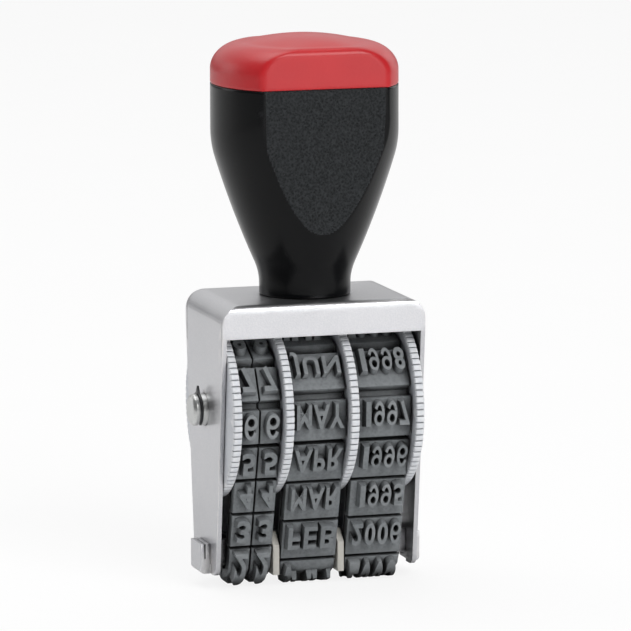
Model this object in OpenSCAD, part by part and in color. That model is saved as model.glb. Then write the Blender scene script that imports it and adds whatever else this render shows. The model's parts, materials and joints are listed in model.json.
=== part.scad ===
// Self-standing rotary date stamp: four rubber type bands on thumbwheels in a bent sheet frame, under a capped handle.
// X runs across the bands, -Y is the front, Z is up, and the printing face rests on z = 0.

/* [Frame] */
// width over the two side plates
frame_w = 28; // [27.8:0.1:28.2]
// depth over the front and rear flanges
frame_d = 17.8; // [17.4:0.2:18.6]
// height of the frame's top above the printing face
frame_top = 38.7; // [38.5:0.1:39.2]
// thickness of the sheet
sheet = 0.6; // [0.5:0.05:0.6]
// outside radius of the bend from the top into each side plate
side_bend = 2.7; // [2:0.1:3]
// outside radius of the bend from the top into each flange
flange_bend = 1; // [0.8:0.1:1.4]
// height of the front and rear flanges
flange_h = 4.4; // [3.6:0.2:5]
// height of the side plates' lower edge
plate_bottom = 1.9; // [1.8:0.1:2.2]
// depth of the side plates at their lower edge
plate_foot_d = 10.6; // [10.2:0.2:11.8]

/* [Axle and thumbwheels] */
// height of the axle's centre
axle_z = 23.7; // [23.6:0.05:23.8]
// radius of the axle
axle_r = 2.15; // [2:0.05:2.2]
// how far each end of the axle stands out of its side plate
axle_stub = 2; // [1.8:0.1:2.4]
// radius of a thumbwheel over its serrations
wheel_r = 11.8; // [11.4:0.1:12]
// thickness of a thumbwheel's disc
disc_t = 1.15; // [1:0.05:1.15]
// number of serrations round a thumbwheel
serrations = 84; // [72:2:96]

/* [Type bands] */
// inside radius of a band where it passes over its hub
band_top_r = 7.6; // [7.5:0.05:7.7]
// thickness of the band's backing
band_backing = 0.9; // [0.8:0.05:1]
// height of the pads above the inside face
pad_rise = 2; // [1.9:0.05:2.1]
// height of the type above the inside face
type_rise = 3.1; // [3:0.05:3.2]
// width of each of the two day bands
day_band_w = 2.8; // [2.6:0.05:2.85]
// number of places on a day band
day_places = 15; // [13:1:15]
// number of places on the month band and on the year band
word_places = 13; // [11:1:13]
// how far a day band's lowest pad stands in front of the middle
day_shift = -1.35; // [-2:0.05:2]
// how far the lowest pad of the month and year bands stands in front of the middle
word_shift = 0.95; // [-2:0.05:2]

/* [Handle] */
// height of the seam between the handle and its cap
seam_z = 67.0; // [66:0.1:68]
// overall height
overall_h = 73.5; // [73:0.1:74.5]
// half of the handle's depth at the head
head_half_d = 9.8; // [9.4:0.1:10.2]
// radius of the neck
neck_r = 6.1; // [5.8:0.1:6.4]
// radius of the screw that holds the handle on the frame
screw_r = 1.7; // [1.5:0.1:1.8]

/* [Hidden] */
$fn = 96;
half_w = frame_w / 2;
half_d = frame_d / 2;
foot_half_d = plate_foot_d / 2;
inner_w = half_w - sheet;
flange_foot = frame_top - flange_h;
fit = 0.05;
over = 0.02;
far = 60;

// places of the discs and the bands along the axle
band_gap = 0.1;
disc_1 = -inner_w + band_gap;
day_tens_x = disc_1 + disc_t + band_gap;
day_units_x = day_tens_x + day_band_w + 2 * band_gap;
disc_2 = day_units_x + day_band_w + band_gap;
month_x = disc_2 + disc_t + band_gap;
word_band_w = 7.65;
disc_3 = month_x + word_band_w + band_gap;
year_x = disc_3 + disc_t + band_gap;
disc_4 = year_x + word_band_w + band_gap;

// outline that a band's inside face follows: a circle over the hub and two small corners under the platen
corner_y = 1.9;
corner_r = 0.6;
corner_z = type_rise + corner_r;
drop = axle_z - corner_z;
reach = sqrt(drop * drop + corner_y * corner_y);
lean = atan2(drop, corner_y) - acos((band_top_r - corner_r) / reach);
run = sqrt(pow(reach, 2) - pow(band_top_r - corner_r, 2));
neutral = band_backing / 2;
corner_arc = (corner_r + neutral) * (90 - lean) * PI / 180;
top_arc = (band_top_r + neutral) * (180 + 2 * lean) * PI / 180;
loop = 2 * (corner_y + corner_arc + run) + top_arc;

// hubs
hub_r = band_top_r - 0.5;
rib_rise = 0.25;
rib_w = 0.8;
rib_count = 13;
bore_r = axle_r + 0.07;

// screw, washer and insert
head_r = 2.9;
head_h = 1.2;
washer_r = 3.5;
washer_t = 0.5;
screw_reach = 12;
insert_r = 2.9;
insert_h = 6;
insert_z = frame_top + 3;

// head of the handle
side_arc_r = 14.8;
side_arc_x = 2.4;
cap_edge = 3.6;
cap_crown = 0.7;
plug_r = 6;
plug_h = 3.5;

// platen and guides
platen_half_d = corner_y + corner_r - fit;
platen_foot = type_rise + fit;
platen_top = 6.4;
platen_sheet = 0.7;
tongue_half_d = 2.3;
tab_t = 1.33;
tab_top = 5.9;
tab_foot = 1.85;
tab_slit = 0.12;
guide_t = 0.9;
guide_half_d = 4.9;
guide_foot = 1.6;
guide_top = 7.2;

steel = [0.72, 0.73, 0.75];
black = [0.12, 0.12, 0.13];
red = [0.78, 0.12, 0.16];
pale = [0.78, 0.80, 0.84];
rubber = [0.38, 0.39, 0.41];
dark_steel = [0.2, 0.2, 0.21];

// extrudes an outline drawn in Y and Z along X, from x0 to x1
module along_x(x0, x1) {
    translate([x0, 0, 0]) rotate([90, 0, 90]) linear_extrude(height = x1 - x0) children();
}

// extrudes an outline drawn in X and Z along Y, from y0 to y1
module along_y(y0, y1) {
    translate([0, y1, 0]) rotate([90, 0, 0]) linear_extrude(height = y1 - y0) children();
}

// arc points round a centre
function arc(cx, cy, r, a0, a1, n) =
    [for (i = [0:n]) [cx + r * cos(a0 + (a1 - a0) * i / n), cy + r * sin(a0 + (a1 - a0) * i / n)]];

// frame

// front view of the U: two side plates and the top between them
module u_outline(half, top, bend) {
    polygon(concat(
        [[-half, -far]],
        arc(-half + bend, top - bend, bend, 180, 90, 12),
        arc(half - bend, top - bend, bend, 90, 0, 12),
        [[half, -far]]));
}

// side view of the frame: flanges at the top, then plates that narrow towards the foot
module side_outline() {
    foot_r = 1.5;
    polygon(concat(
        [[-half_d, flange_foot]],
        arc(-half_d + flange_bend, frame_top - flange_bend, flange_bend, 180, 90, 10),
        arc(half_d - flange_bend, frame_top - flange_bend, flange_bend, 90, 0, 10),
        [[half_d, flange_foot]],
        arc(foot_half_d - foot_r, plate_bottom + foot_r, foot_r, 0, -90, 8),
        arc(-foot_half_d + foot_r, plate_bottom + foot_r, foot_r, -90, -180, 8)));
}

// the space between the flanges
module between_flanges() {
    inner_bend = flange_bend - sheet / 2;
    y = half_d - sheet;
    polygon(concat(
        [[-y, flange_foot - over], [-far, flange_foot - over], [-far, -far], [far, -far]],
        [[far, flange_foot - over], [y, flange_foot - over]],
        arc(y - inner_bend, frame_top - sheet - inner_bend, inner_bend, 0, 90, 6),
        arc(-y + inner_bend, frame_top - sheet - inner_bend, inner_bend, 90, 180, 6)));
}

module frame() {
    slit_t = 0.14;
    slit_h = flange_h - side_bend + 0.6;
    color(steel) difference() {
        intersection() {
            along_y(-far, far) u_outline(half_w, frame_top, side_bend);
            along_x(-far, far) side_outline();
        }
        intersection() {
            along_y(-far, far) u_outline(inner_w, frame_top - sheet, side_bend - sheet);
            along_x(-far, far) between_flanges();
        }
        for (side = [-1, 1], front = [-1, 1])
            translate([side * (half_w - sheet / 2), front * (half_d - sheet - slit_t / 2), flange_foot])
                cube([sheet + 2 * over, slit_t, 2 * slit_h], center = true);
        translate([-far, 0, axle_z]) rotate([0, 90, 0]) cylinder(h = 2 * far, r = axle_r + fit);
        translate([-far, -tongue_half_d - fit, 0])
            cube([2 * far, 2 * (tongue_half_d + fit), platen_foot + platen_sheet + fit]);
        cylinder(h = far, r = screw_r + 0.2);
    }
}

// handle

// the round part flares out of the neck, a little bulged
flare_foot = 41.7;
flare_top = 62.5;
flare_bulge = 0.3;
flare_steps = 20;
round_top_r = 13.4;
function flare_r(z) =
    let (t = (z - flare_foot) / (flare_top - flare_foot))
    neck_r + (round_top_r - neck_r) * (t + flare_bulge * t * (1 - t));

// the flat faces lean outwards a little towards the head
face_foot = 47.5;
face_foot_y = 8.6;
face_top = 65;

// plan of the head: two wide arcs, cut off flat at the front and the rear
module head_plan(half_depth) {
    intersection() {
        translate([-side_arc_x, 0]) circle(r = side_arc_r);
        translate([side_arc_x, 0]) circle(r = side_arc_r);
        square([far, 2 * half_depth], center = true);
    }
}

module handle_solid() {
    flare = [for (i = [0:flare_steps]) let (z = flare_foot + (flare_top - flare_foot) * i / flare_steps) [flare_r(z), z]];
    intersection() {
        translate([0, 0, frame_top]) linear_extrude(height = seam_z - frame_top) head_plan(head_half_d);
        rotate_extrude() polygon(concat(
            [[0, frame_top], [neck_r, frame_top]], flare, [[round_top_r, seam_z], [0, seam_z]]));
        along_x(-far, far) polygon([
            [-face_foot_y, frame_top], [face_foot_y, frame_top], [face_foot_y, face_foot],
            [head_half_d, face_top], [head_half_d, seam_z], [-head_half_d, seam_z],
            [-head_half_d, face_top], [-face_foot_y, face_foot]]);
    }
}

module handle_body() {
    color(black) difference() {
        handle_solid();
        translate([0, 0, seam_z - plug_h - 0.3]) cylinder(h = far, r = plug_r + fit);
        translate([0, 0, frame_top - over]) cylinder(h = screw_reach + 1, r = screw_r + 0.1);
        translate([0, 0, insert_z]) cylinder(h = insert_h, r = insert_r, $fn = 6);
    }
}

// side view of the cap: a flat-bottomed slab with rounded upper edges and a slight crown
module cap_side(half) {
    crown_r = (half * half + cap_crown * cap_crown) / (2 * cap_crown);
    intersection() {
        polygon(concat(
            [[-half, seam_z]],
            arc(-half + cap_edge, overall_h - cap_edge, cap_edge, 180, 90, 12),
            arc(half - cap_edge, overall_h - cap_edge, cap_edge, 90, 0, 12),
            [[half, seam_z]]));
        translate([0, overall_h - crown_r]) circle(r = crown_r, $fn = 360);
    }
}

module handle_cap() {
    color(red) union() {
        intersection() {
            translate([0, 0, seam_z]) linear_extrude(height = overall_h - seam_z) head_plan(head_half_d);
            along_y(-far, far) cap_side(side_arc_r - side_arc_x);
            along_x(-far, far) cap_side(head_half_d);
        }
        translate([0, 0, seam_z - plug_h]) cylinder(h = plug_h + 1, r = plug_r);
    }
}

module handle_screw() {
    color(steel) difference() {
        union() {
            translate([0, 0, frame_top - sheet - washer_t - head_h]) cylinder(h = head_h, r = head_r);
            translate([0, 0, frame_top - sheet - washer_t - over])
                cylinder(h = screw_reach + sheet + washer_t, r = screw_r);
        }
        for (turn = [0, 90])
            translate([0, 0, frame_top - sheet - washer_t - head_h]) rotate([0, 0, turn])
                cube([0.7, 3.4, 1.4], center = true);
    }
}

module screw_washer() {
    color(steel) translate([0, 0, frame_top - sheet - washer_t]) difference() {
        cylinder(h = washer_t, r = washer_r);
        translate([0, 0, -1]) cylinder(h = far, r = screw_r + 0.15);
    }
}

module handle_insert() {
    color(steel) translate([0, 0, insert_z]) difference() {
        cylinder(h = insert_h, r = insert_r, $fn = 6);
        translate([0, 0, -1]) cylinder(h = far, r = screw_r);
    }
}

// axle and its clips

groove_x = half_w + 0.9;
groove_depth = 0.35;
groove_w = 0.36;
module axle() {
    tip = 0.35;
    length = 2 * (half_w + axle_stub);
    color(steel) rotate([0, 90, 0]) translate([-axle_z, 0, -length / 2]) difference() {
        union() {
            cylinder(h = tip, r1 = axle_r - tip, r2 = axle_r);
            translate([0, 0, tip]) cylinder(h = length - 2 * tip, r = axle_r);
            translate([0, 0, length - tip]) cylinder(h = tip, r1 = axle_r, r2 = axle_r - tip);
        }
        for (side = [-1, 1])
            translate([0, 0, length / 2 + side * groove_x - groove_w / 2]) difference() {
                cylinder(h = groove_w, r = axle_r + 1);
                translate([0, 0, -1]) cylinder(h = 3, r = axle_r - groove_depth);
            }
    }
}

// sprung clip in a groove: an open ring with one pointed ear standing up
module axle_clip(side) {
    clip_t = 0.3;
    clip_r = axle_r + 0.2;
    ear_top = clip_r + 0.9;
    ear_half = 0.6;
    mouth = 2.2;
    color(dark_steel) translate([0, 0, axle_z])
        along_x(side * groove_x - clip_t / 2, side * groove_x + clip_t / 2) difference() {
            union() {
                circle(r = clip_r);
                polygon([[-ear_half, 0], [ear_half, 0], [ear_half, clip_r], [0, ear_top], [-ear_half, clip_r]]);
            }
            circle(r = axle_r - groove_depth + 0.02);
            translate([-mouth / 2, -far]) square([mouth, far]);
        }
}
module axle_clip_left() { axle_clip(-1); }
module axle_clip_right() { axle_clip(1); }

// thumbwheels

module serrated_outline() {
    tooth = 0.28;
    step = 360 / serrations;
    polygon([for (i = [0:serrations - 1], k = [0:3])
        let (a = (i + k / 4) * step, r = k < 2 ? wheel_r : wheel_r - tooth) [r * cos(a), r * sin(a)]]);
}

// outline of a hub whose raised ribs catch the inside of a band
module ribbed_outline() {
    step = 360 / rib_count;
    half_rib = asin(rib_w / 2 / hub_r);
    polygon([for (i = [0:rib_count - 1])
        each concat(
            arc(0, 0, hub_r + rib_rise, i * step - half_rib, i * step + half_rib, 2),
            arc(0, 0, hub_r, i * step + 1.1 * half_rib, (i + 1) * step - 1.1 * half_rib, 4))]);
}

// a serrated disc at disc_x with a ribbed hub that reaches from hub_from to hub_to
module wheel(disc_x, hub_from, hub_to) {
    color(pale) translate([0, 0, axle_z]) union() {
        along_x(disc_x, disc_x + disc_t) difference() {
            serrated_outline();
            circle(r = bore_r);
        }
        along_x(hub_from, hub_to) difference() {
            ribbed_outline();
            circle(r = bore_r);
        }
    }
}
module day_tens_wheel() { wheel(disc_1, disc_1 + disc_t, day_tens_x + day_band_w + 0.05); }
module day_units_wheel() { wheel(disc_2, day_units_x - 0.05, disc_2); }
module month_wheel() { wheel(disc_3, month_x, disc_3); }
module year_wheel() { wheel(disc_4, year_x, disc_4); }

// type bands

// outline at a distance d outside a band's inside face
module band_outline(d) {
    polygon(concat(
        arc(0, axle_z, band_top_r + d, 180 + lean, -lean, 40),
        arc(corner_y, corner_z, corner_r + d, -lean, -90, 8),
        arc(-corner_y, corner_z, corner_r + d, -90, -180 + lean, 8)));
}

// [y, z] on the rear half of a band, at a distance s from the foot along its neutral line and d above its inside face
function half_at(s, d) =
    let (along = s - corner_y - corner_arc)
    s < corner_y ? [s, corner_z - corner_r - d]
    : along < 0 ?
        let (a = -90 + (s - corner_y) / (corner_r + neutral) * 180 / PI)
        [corner_y + (corner_r + d) * cos(a), corner_z + (corner_r + d) * sin(a)]
    : along < run ?
        [corner_y + (corner_r + d) * cos(lean) + along * sin(lean),
         corner_z - (corner_r + d) * sin(lean) + along * cos(lean)]
    : let (a = -lean + (along - run) / (band_top_r + neutral) * 180 / PI)
        [(band_top_r + d) * cos(a), axle_z + (band_top_r + d) * sin(a)];

// the same all the way round, up the front first
function band_at(s, d) =
    let (u = s - loop * floor(s / loop))
    u > loop / 2 ? half_at(loop - u, d)
    : let (p = half_at(u, d)) [-p[0], p[1]];

// a raised block that follows the band, from rise r0 to rise r1
module raised(middle, len, r0, r1) {
    steps = 6;
    ends = [for (k = [0:steps]) middle + len * (k / steps - 0.5)];
    polygon(concat([for (s = ends) band_at(s, r1)], [for (k = [steps:-1:0]) band_at(ends[k], r0)]));
}

module band(x0, w, places, shift, pad_len, type_len) {
    edge = 0.15;
    root = 0.3;
    color(rubber) union() {
        along_x(x0, x0 + w) union() {
            difference() {
                band_outline(band_backing);
                band_outline(0);
            }
            for (i = [0:places - 1]) raised(shift + i * loop / places, pad_len, band_backing - root, pad_rise);
        }
        along_x(x0 + edge, x0 + w - edge)
            for (i = [0:places - 1]) raised(shift + i * loop / places, type_len, pad_rise - root, type_rise);
    }
}
module day_tens_band() { band(day_tens_x, day_band_w, day_places, day_shift, 4.5, 4); }
module day_units_band() { band(day_units_x, day_band_w, day_places, day_shift, 4.5, 4); }
module month_band() { band(month_x, word_band_w, word_places, word_shift, 5.2, 4); }
module year_band() { band(year_x, word_band_w, word_places, word_shift, 5.2, 4); }

// platen and guides

// a folded channel under the bands, with a tongue through each side plate that is folded up as a double tab
module platen() {
    r = corner_r - fit;
    half_len = inner_w - fit;
    tab_x = half_w + over;
    color(steel) union() {
        along_x(-half_len, half_len) difference() {
            polygon(concat(
                [[platen_half_d, platen_top], [-platen_half_d, platen_top]],
                arc(-platen_half_d + r, platen_foot + r, r, 180, 270, 6),
                arc(platen_half_d - r, platen_foot + r, r, 270, 360, 6)));
            translate([-platen_half_d + platen_sheet, platen_foot + platen_sheet])
                square([2 * (platen_half_d - platen_sheet), far]);
        }
        translate([-tab_x - tab_t / 2, -tongue_half_d, platen_foot])
            cube([2 * tab_x + tab_t, 2 * tongue_half_d, platen_sheet]);
        for (side = [-1, 1])
            along_y(-tongue_half_d, tongue_half_d) scale([side, 1]) difference() {
                polygon(concat(
                    [[tab_x, tab_top], [tab_x, tab_foot]],
                    arc(tab_x + tab_t - 0.6, tab_foot + 0.6, 0.6, -90, 0, 5),
                    [[tab_x + tab_t, tab_top]]));
                translate([tab_x + tab_t / 2 - tab_slit / 2, platen_foot + platen_sheet]) square([tab_slit, far]);
            }
    }
}

// a thin saddle over the platen that keeps two neighbouring bands apart
module guide(x) {
    crown = 1.6;
    gap = platen_half_d + 0.02;
    color(pale) along_x(x - guide_t / 2, x + guide_t / 2) difference() {
        polygon([
            [-guide_half_d, guide_foot], [guide_half_d, guide_foot], [guide_half_d, guide_top - crown],
            [guide_half_d - crown, guide_top], [-guide_half_d + crown, guide_top], [-guide_half_d, guide_top - crown]]);
        translate([-gap, -far]) square([2 * gap, far + platen_top + 0.02]);
    }
}
module guide_left() { guide(disc_2 + disc_t / 2); }
module guide_right() { guide(disc_3 + disc_t / 2); }

frame();
handle_body();
handle_cap();
handle_screw();
screw_washer();
handle_insert();
axle();
axle_clip_left();
axle_clip_right();
day_tens_wheel();
day_units_wheel();
month_wheel();
year_wheel();
day_tens_band();
day_units_band();
month_band();
year_band();
platen();
guide_left();
guide_right();
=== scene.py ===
import json
import math

import bmesh
import bpy
from mathutils import Matrix, Vector

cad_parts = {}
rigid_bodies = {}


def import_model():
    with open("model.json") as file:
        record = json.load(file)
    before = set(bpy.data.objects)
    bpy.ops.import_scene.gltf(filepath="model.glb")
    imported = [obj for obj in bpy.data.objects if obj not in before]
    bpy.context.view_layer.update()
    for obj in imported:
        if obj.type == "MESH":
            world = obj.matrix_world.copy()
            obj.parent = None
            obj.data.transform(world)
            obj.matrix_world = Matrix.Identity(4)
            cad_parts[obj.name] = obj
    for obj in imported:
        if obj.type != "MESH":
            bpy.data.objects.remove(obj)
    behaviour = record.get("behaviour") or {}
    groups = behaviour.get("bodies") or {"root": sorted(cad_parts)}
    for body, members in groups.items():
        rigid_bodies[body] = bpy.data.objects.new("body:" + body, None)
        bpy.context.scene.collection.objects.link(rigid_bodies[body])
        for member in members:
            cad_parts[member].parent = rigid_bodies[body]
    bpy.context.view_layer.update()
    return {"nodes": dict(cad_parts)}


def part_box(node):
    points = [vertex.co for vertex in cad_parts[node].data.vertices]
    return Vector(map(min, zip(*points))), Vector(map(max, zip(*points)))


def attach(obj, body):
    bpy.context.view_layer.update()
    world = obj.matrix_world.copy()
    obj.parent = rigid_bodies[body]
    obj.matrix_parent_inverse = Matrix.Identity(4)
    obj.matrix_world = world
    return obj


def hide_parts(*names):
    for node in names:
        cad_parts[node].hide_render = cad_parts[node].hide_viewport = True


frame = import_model()
mm = 0.001
samePoint = 1e-7  # points nearer than this are one, in metres
tinySine = 1e-3  # keeps the distance to a flat face finite in the direction that runs along it
axleHeight = 23.7  # the wheels' axle above the floor, in millimetres as all sizes below
stampBody = "stamp_frame"
print("frame loaded:", len(frame["nodes"]), "solids")

# small helpers for node trees and meshes


def addNode(tree, kind, inputs=None, **settings):
    node = tree.nodes.new(kind)
    for key, value in settings.items():
        setattr(node, key, value)
    for key, value in (inputs or {}).items():
        if isinstance(value, bpy.types.NodeSocket):
            tree.links.new(value, node.inputs[key])
        else:
            node.inputs[key].default_value = value
    return node


def addSocket(tree, name, kind, inOut, value=None):
    socket = tree.interface.new_socket(name=name, in_out=inOut, socket_type=kind)
    if value is not None:
        socket.default_value = value


def rampNode(tree, factor, stops):
    # a ramp between two colours
    ramp = addNode(tree, "ShaderNodeValToRGB", {"Fac": factor})
    for element, (place, colour) in zip(ramp.color_ramp.elements, stops):
        element.position = place
        element.color = (*colour, 1.0)
    return ramp


def addPiece(name, data):
    piece = bpy.data.objects.new(name, data)
    bpy.context.scene.collection.objects.link(piece)
    return piece


def meshPiece(name, verts, faces, materials):
    # a smooth, closed object from points in millimetres
    mesh = bpy.data.meshes.new(name)
    mesh.from_pydata([tuple(c * mm for c in v) for v in verts], [], faces)
    bm = bmesh.new()
    bm.from_mesh(mesh)
    bmesh.ops.remove_doubles(bm, verts=bm.verts, dist=samePoint)
    bmesh.ops.recalc_face_normals(bm, faces=bm.faces)
    bm.to_mesh(mesh)
    bm.free()
    for material in materials:
        mesh.materials.append(material)
    mesh.polygons.foreach_set("use_smooth", [True] * len(mesh.polygons))
    return addPiece(name, mesh)


def plainMesh(piece):
    # bakes an object's modifiers into its mesh and clears them
    graph = bpy.context.evaluated_depsgraph_get()
    mesh = bpy.data.meshes.new_from_object(piece.evaluated_get(graph), depsgraph=graph)
    piece.modifiers.clear()
    piece.data = mesh


def skinFaces(rows, count):
    # four-sided faces between rows of points, each row a closed ring
    faces = []
    for low in range(0, (rows - 1) * count, count):
        for i in range(count):
            j = (i + 1) % count
            faces.append((low + i, low + j, low + count + j, low + count + i))
    return faces


def tubeFaces(rows, count):
    # the same with both ends closed
    return skinFaces(rows, count) + [tuple(range(count)), tuple((rows - 1) * count + i for i in range(count))]


def sharpenEdges(piece, degrees):
    # smooth faces with crisp edges, stored in the mesh itself
    mesh = piece.data
    bm = bmesh.new()
    bm.from_mesh(mesh)
    for edge in bm.edges:
        edge.smooth = len(edge.link_faces) == 2 and edge.calc_face_angle(0) < math.radians(degrees)
    for face in bm.faces:
        face.smooth = True
    bm.to_mesh(mesh)
    bm.free()


def finishPiece(piece, body, node):
    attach(piece, body)
    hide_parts(node)


# shared surface effects


def makeGrainGroup():
    # fine grain: a height for bumps and a tone that drifts over the surface
    group = bpy.data.node_groups.new("fineGrain", "ShaderNodeTree")
    addSocket(group, "Grain Size", "NodeSocketFloat", "INPUT", 4000.0)
    addSocket(group, "Drift Size", "NodeSocketFloat", "INPUT", 120.0)
    addSocket(group, "Height", "NodeSocketFloat", "OUTPUT")
    addSocket(group, "Tone", "NodeSocketFloat", "OUTPUT")
    given = addNode(group, "NodeGroupInput")
    place = addNode(group, "ShaderNodeTexCoord").outputs["Object"]
    fine = addNode(group, "ShaderNodeTexNoise", {
        "Vector": place, "Scale": given.outputs["Grain Size"], "Detail": 4.0, "Roughness": 0.6})
    pits = addNode(group, "ShaderNodeTexVoronoi", {
        "Vector": place, "Scale": given.outputs["Grain Size"]}, feature="SMOOTH_F1")
    height = addNode(group, "ShaderNodeMath", {
        0: fine.outputs["Fac"], 1: pits.outputs["Distance"]}, operation="ADD")
    drift = addNode(group, "ShaderNodeTexNoise", {
        "Vector": place, "Scale": given.outputs["Drift Size"], "Detail": 3.0, "Roughness": 0.55})
    result = addNode(group, "NodeGroupOutput")
    group.links.new(height.outputs[0], result.inputs["Height"])
    group.links.new(drift.outputs["Fac"], result.inputs["Tone"])
    return group


def makeWearGroup():
    # worn edges: 1 where the surface turns sharply outwards, broken up by noise
    group = bpy.data.node_groups.new("edgeWear", "ShaderNodeTree")
    addSocket(group, "Start", "NodeSocketFloat", "INPUT", 0.52)
    addSocket(group, "Full", "NodeSocketFloat", "INPUT", 0.62)
    addSocket(group, "Breakup Size", "NodeSocketFloat", "INPUT", 900.0)
    addSocket(group, "Wear", "NodeSocketFloat", "OUTPUT")
    given = addNode(group, "NodeGroupInput")
    point = addNode(group, "ShaderNodeNewGeometry").outputs["Pointiness"]
    edge = addNode(group, "ShaderNodeMapRange", {
        "Value": point, "From Min": given.outputs["Start"], "From Max": given.outputs["Full"]})
    place = addNode(group, "ShaderNodeTexCoord").outputs["Object"]
    noise = addNode(group, "ShaderNodeTexNoise", {
        "Vector": place, "Scale": given.outputs["Breakup Size"], "Detail": 3.0})
    broken = addNode(group, "ShaderNodeMapRange", {
        "Value": noise.outputs["Fac"], "From Min": 0.35, "From Max": 0.6, "To Min": 0.35, "To Max": 1.0})
    wear = addNode(group, "ShaderNodeMath", {0: edge.outputs[0], 1: broken.outputs[0]}, operation="MULTIPLY")
    result = addNode(group, "NodeGroupOutput")
    group.links.new(wear.outputs[0], result.inputs["Wear"])
    return group


def makeRecessGroup():
    # painted shade in hollows, from ambient occlusion: 1 on open surfaces, 0 deep between raised shapes
    group = bpy.data.node_groups.new("recessShade", "ShaderNodeTree")
    addSocket(group, "Reach", "NodeSocketFloat", "INPUT", 0.0012)
    addSocket(group, "Deep", "NodeSocketFloat", "INPUT", 0.3)
    addSocket(group, "Clear", "NodeSocketFloat", "INPUT", 0.8)
    addSocket(group, "Open", "NodeSocketFloat", "OUTPUT")
    given = addNode(group, "NodeGroupInput")
    hollow = addNode(group, "ShaderNodeAmbientOcclusion", {
        "Distance": given.outputs["Reach"]}, samples=6)
    spread = addNode(group, "ShaderNodeMapRange", {
        "Value": hollow.outputs["AO"], "From Min": given.outputs["Deep"], "From Max": given.outputs["Clear"]})
    result = addNode(group, "NodeGroupOutput")
    group.links.new(spread.outputs[0], result.inputs["Open"])
    return group


grainGroup = makeGrainGroup()
wearGroup = makeWearGroup()
recessShadeGroup = makeRecessGroup()


def placeGroup(tree, group, values):
    node = addNode(tree, "ShaderNodeGroup", node_tree=group)
    for key, value in values.items():
        node.inputs[key].default_value = value
    return node


def surface(name, look):
    # one finish: two tones that drift, worn edges, grain in the bump and in the gloss, and painted shade in
    # hollows where the look has a recess
    material = bpy.data.materials.new(name)
    material.use_nodes = True
    tree = material.node_tree
    tree.nodes.clear()
    shader = addNode(tree, "ShaderNodeBsdfPrincipled", {
        "Metallic": look.get("metallic", 0.0), "Specular IOR Level": look.get("specular", 0.5),
        "Sheen Weight": look.get("sheen", 0.0), "Sheen Roughness": 0.4})
    grain = placeGroup(tree, grainGroup, {"Grain Size": look["grainSize"], "Drift Size": look["driftSize"]})
    wear = placeGroup(tree, wearGroup, {
        "Start": look.get("wearStart", 0.53), "Full": look.get("wearFull", 0.62)})
    driftLow, driftHigh = 0.3, 0.7
    tones = rampNode(tree, grain.outputs["Tone"], [(driftLow, look["dark"]), (driftHigh, look["light"])])
    speck = addNode(tree, "ShaderNodeMapRange", {
        "Value": grain.outputs["Height"], "From Min": 0.5, "From Max": 1.2,
        "To Min": 0.0, "To Max": look.get("speck", 0.1)})
    specked = addNode(tree, "ShaderNodeMix", {
        "Factor": speck.outputs[0], "A": tones.outputs[0], "B": (*look["worn"], 1.0)}, data_type="RGBA")
    worn = addNode(tree, "ShaderNodeMix", {
        "Factor": wear.outputs["Wear"], "A": specked.outputs[2], "B": (*look["worn"], 1.0)}, data_type="RGBA")
    colour = worn.outputs[2]
    # painted shade: the colour turns to the shade colour where ambient occlusion finds a hollow
    if "recess" in look:
        recess = placeGroup(tree, recessShadeGroup, look["recess"])
        shadedHollows = addNode(tree, "ShaderNodeMix", {
            "Factor": recess.outputs["Open"], "A": (*look["hollowShadeColour"], 1.0), "B": colour}, data_type="RGBA")
        colour = shadedHollows.outputs[2]
    gloss = addNode(tree, "ShaderNodeMapRange", {
        "Value": grain.outputs["Tone"], "From Min": driftLow, "From Max": driftHigh,
        "To Min": look["roughness"][0], "To Max": look["roughness"][1]})
    bump = addNode(tree, "ShaderNodeBump", {
        "Height": grain.outputs["Height"], "Strength": look["bump"],
        "Distance": look.get("bumpDepth", 0.00004)})
    out = addNode(tree, "ShaderNodeOutputMaterial")
    links = tree.links
    links.new(colour, shader.inputs["Base Color"])
    links.new(gloss.outputs[0], shader.inputs["Roughness"])
    links.new(bump.outputs[0], shader.inputs["Normal"])
    links.new(shader.outputs[0], out.inputs["Surface"])
    return material


# the nickel's recess darkens it near the bands, round the stub and under the flange: painted shade
nickelPlate = surface("nickelPlate", dict(
    metallic=1.0, dark=(0.50, 0.505, 0.53), light=(0.57, 0.572, 0.595), worn=(0.70, 0.69, 0.69),
    roughness=(0.3, 0.38), grainSize=5200.0, driftSize=90.0, bump=0.22, speck=0.35,
    recess=dict(Reach=0.004, Deep=0.2, Clear=0.55), hollowShadeColour=(0.10, 0.10, 0.105)))
brightNickel = surface("brightNickel", dict(
    metallic=1.0, dark=(0.44, 0.45, 0.45), light=(0.56, 0.565, 0.56), worn=(0.72, 0.72, 0.70),
    roughness=(0.3, 0.4), grainSize=3600.0, driftSize=400.0, bump=0.3, speck=0.3))
handleGloss = surface("handleGloss", dict(
    dark=(0.0018, 0.002, 0.0023), light=(0.0034, 0.0037, 0.0042), worn=(0.016, 0.016, 0.018), specular=0.14,
    roughness=(0.18, 0.24), grainSize=2400.0, driftSize=80.0, bump=0.05, speck=0.04))
handleGrain = surface("handleGrain", dict(
    dark=(0.004, 0.005, 0.0056), light=(0.007, 0.0084, 0.0092), worn=(0.036, 0.039, 0.042), specular=0.16,
    roughness=(0.42, 0.52), grainSize=3400.0, driftSize=140.0, bump=1.0, bumpDepth=0.0002, speck=0.75))
capRed = surface("capRed", dict(
    dark=(0.48, 0.010, 0.015), light=(0.56, 0.017, 0.022), worn=(0.64, 0.06, 0.07), specular=0.45,
    roughness=(0.3, 0.38), grainSize=3000.0, driftSize=90.0, bump=0.14, speck=0.05,
    wearStart=5.0, wearFull=6.0))  # out of reach: the cap's soft edges don't wear
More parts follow.
